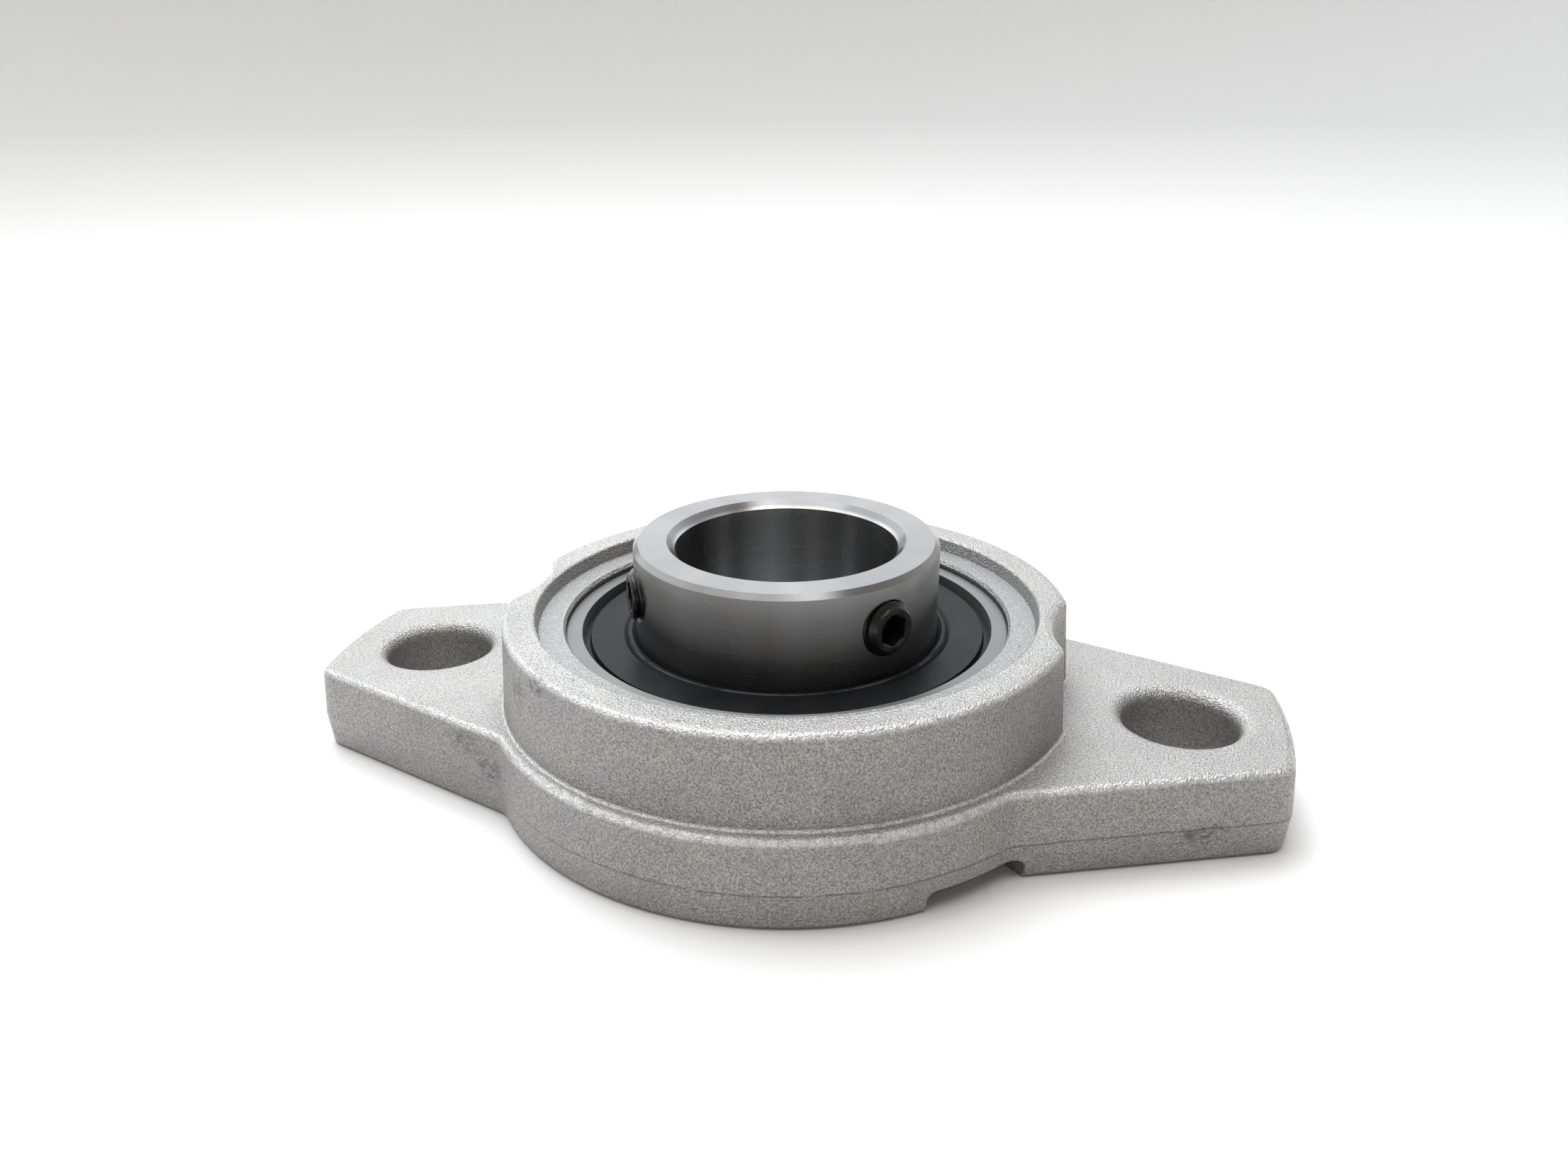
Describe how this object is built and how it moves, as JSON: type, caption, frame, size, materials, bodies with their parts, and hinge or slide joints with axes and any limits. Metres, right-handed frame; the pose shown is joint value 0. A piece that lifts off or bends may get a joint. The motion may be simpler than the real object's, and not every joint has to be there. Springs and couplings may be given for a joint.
{
  "type": "flange mount bearing",
  "caption": "Self-aligning ball bearing insert in a two-bolt cast flange, with radial set screws that lock a shaft in its bore.",
  "frame": {"origin": "centre of the mounting face, on the shaft axis", "axes": "+Z along the shaft axis, out of the front where the inner ring stands out; +X along the flange towards one bolt hole"},
  "size_m": [0.09, 0.055, 0.022],
  "materials": {
    "housing": "blasted die-cast zinc alloy, fine grain",
    "outer_ring": "ground bearing steel",
    "inner_ring": "satin ground bearing steel",
    "balls": "polished",
    "cage": "pressed sheet",
    "rivets": "satin",
    "seal_rubber": "semi-gloss",
    "seal_washer": "satin sheet",
    "set_screws": "black oxide"
  },
  "bodies": {
    "housing": {"housing": "housing"},
    "insert": {"outer_ring": "outer_ring", "front_seal": "seal_rubber", "front_seal_washer": "seal_washer", "rear_seal": "seal_rubber", "rear_seal_washer": "seal_washer"},
    "inner_ring": {"inner_ring": "inner_ring"},
    "cage": {"cage_front": "cage", "cage_back": "cage", "rivet_1": "rivets", "rivet_2": "rivets", "rivet_3": "rivets", "rivet_4": "rivets", "rivet_5": "rivets", "rivet_6": "rivets", "rivet_7": "rivets", "rivet_8": "rivets", "rivet_9": "rivets"},
    "set_screw_right": {"set_screw_right": "set_screws"},
    "set_screw_left": {"set_screw_left": "set_screws"},
    "ball_1": {"ball_1": "balls"},
    "ball_2": {"ball_2": "balls"},
    "ball_3": {"ball_3": "balls"},
    "ball_4": {"ball_4": "balls"},
    "ball_5": {"ball_5": "balls"},
    "ball_6": {"ball_6": "balls"},
    "ball_7": {"ball_7": "balls"},
    "ball_8": {"ball_8": "balls"},
    "ball_9": {"ball_9": "balls"}
  },
  "joints": [
    {"name": "self_alignment", "type": "hinge", "parent": "housing", "child": "insert", "pos_m": [0, 0, 0.008], "axis": [0, 1, 0], "range_deg": [-3, 3]},
    {"name": "shaft_spin", "type": "hinge", "parent": "insert", "child": "inner_ring", "pos_m": [0, 0, 0.008], "axis": [0, 0, 1], "continuous": true},
    {"name": "cage_spin", "type": "hinge", "parent": "insert", "child": "cage", "pos_m": [0, 0, 0.008], "axis": [0, 0, 1], "continuous": true},
    {"name": "ball_1_roll", "type": "hinge", "parent": "cage", "child": "ball_1", "pos_m": [0.0155, 0, 0.008], "axis": [0, 0, 1], "continuous": true},
    {"name": "ball_2_roll", "type": "hinge", "parent": "cage", "child": "ball_2", "pos_m": [0.01187, 0.00996, 0.008], "axis": [0, 0, 1], "continuous": true},
    {"name": "ball_3_roll", "type": "hinge", "parent": "cage", "child": "ball_3", "pos_m": [0.00269, 0.01526, 0.008], "axis": [0, 0, 1], "continuous": true},
    {"name": "ball_4_roll", "type": "hinge", "parent": "cage", "child": "ball_4", "pos_m": [-0.00775, 0.01342, 0.008], "axis": [0, 0, 1], "continuous": true},
    {"name": "ball_5_roll", "type": "hinge", "parent": "cage", "child": "ball_5", "pos_m": [-0.01457, 0.0053, 0.008], "axis": [0, 0, 1], "continuous": true},
    {"name": "ball_6_roll", "type": "hinge", "parent": "cage", "child": "ball_6", "pos_m": [-0.01457, -0.0053, 0.008], "axis": [0, 0, 1], "continuous": true},
    {"name": "ball_7_roll", "type": "hinge", "parent": "cage", "child": "ball_7", "pos_m": [-0.00775, -0.01342, 0.008], "axis": [0, 0, 1], "continuous": true},
    {"name": "ball_8_roll", "type": "hinge", "parent": "cage", "child": "ball_8", "pos_m": [0.00269, -0.01526, 0.008], "axis": [0, 0, 1], "continuous": true},
    {"name": "ball_9_roll", "type": "hinge", "parent": "cage", "child": "ball_9", "pos_m": [0.01187, -0.00996, 0.008], "axis": [0, 0, 1], "continuous": true},
    {"name": "set_screw_right_travel", "type": "slide", "parent": "inner_ring", "child": "set_screw_right", "axis": [0.7716, -0.6361, 0], "range_m": [-0.0005, 0.0015]},
    {"name": "set_screw_left_travel", "type": "slide", "parent": "inner_ring", "child": "set_screw_left", "axis": [-0.8829, -0.4695, 0], "range_m": [-0.0003, 0.0017]}
  ],
  "couplings": [
    {"joint": "cage_spin", "follows": "shaft_spin", "ratio": 0.39758},
    {"joint": "ball_1_roll", "follows": "shaft_spin", "ratio": -2.3385},
    {"joint": "ball_2_roll", "follows": "shaft_spin", "ratio": -2.3385},
    {"joint": "ball_3_roll", "follows": "shaft_spin", "ratio": -2.3385},
    {"joint": "ball_4_roll", "follows": "shaft_spin", "ratio": -2.3385},
    {"joint": "ball_5_roll", "follows": "shaft_spin", "ratio": -2.3385},
    {"joint": "ball_6_roll", "follows": "shaft_spin", "ratio": -2.3385},
    {"joint": "ball_7_roll", "follows": "shaft_spin", "ratio": -2.3385},
    {"joint": "ball_8_roll", "follows": "shaft_spin", "ratio": -2.3385},
    {"joint": "ball_9_roll", "follows": "shaft_spin", "ratio": -2.3385}
  ]
}
